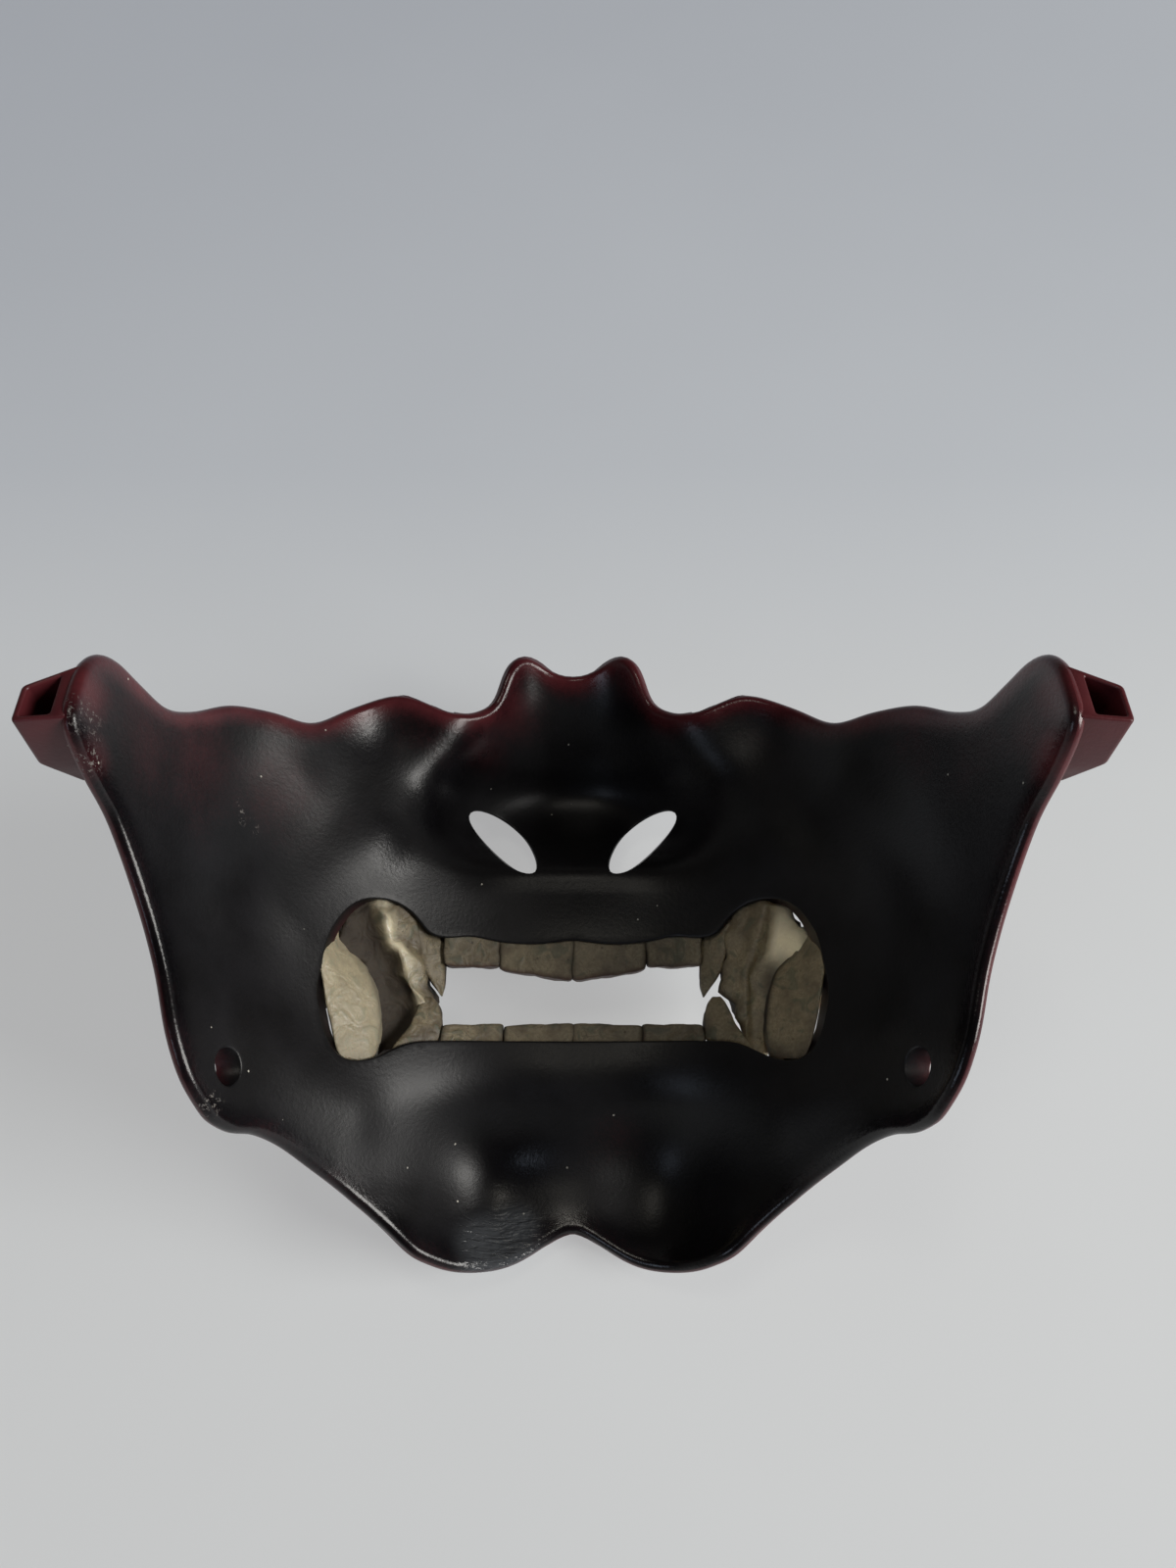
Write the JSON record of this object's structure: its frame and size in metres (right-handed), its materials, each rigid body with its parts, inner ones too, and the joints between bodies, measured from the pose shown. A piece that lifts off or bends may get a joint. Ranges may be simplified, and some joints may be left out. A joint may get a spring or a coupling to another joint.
{
  "type": "oni half mask",
  "caption": "Thin hollow half mask shaped as an oni's nose, mouth and jaw, open at the back, with teeth and tusks in the open mouth, nostril slits, strap sockets and strap holes.",
  "frame": {"origin": "middle of the mask's width and length, on the plane it lies on face down", "axes": "+X across the width to the wearer's right, +Y from the chin towards the nose, +Z from the front that lies on the plane up to the open back"},
  "size_m": [0.1772, 0.1336, 0.1035],
  "materials": {
    "lacquered_shell": "satin lacquer, dark red outside and black inside",
    "aged_bone": "matte, painted as weathered bone"
  },
  "bodies": {
    "root": {"mask_shell": "lacquered_shell", "strap_socket_left": "lacquered_shell", "strap_socket_right": "lacquered_shell", "upper_incisor_left": "aged_bone", "upper_incisor_right": "aged_bone", "upper_lateral_left": "aged_bone", "upper_lateral_right": "aged_bone", "upper_fang_left": "aged_bone", "upper_fang_right": "aged_bone", "upper_tusk_left": "aged_bone", "upper_tusk_right": "aged_bone", "lower_incisor_left": "aged_bone", "lower_incisor_right": "aged_bone", "lower_lateral_left": "aged_bone", "lower_lateral_right": "aged_bone", "lower_canine_left": "aged_bone", "lower_canine_right": "aged_bone", "lower_tusk_left": "aged_bone", "lower_tusk_right": "aged_bone"}
  },
  "joints": []
}
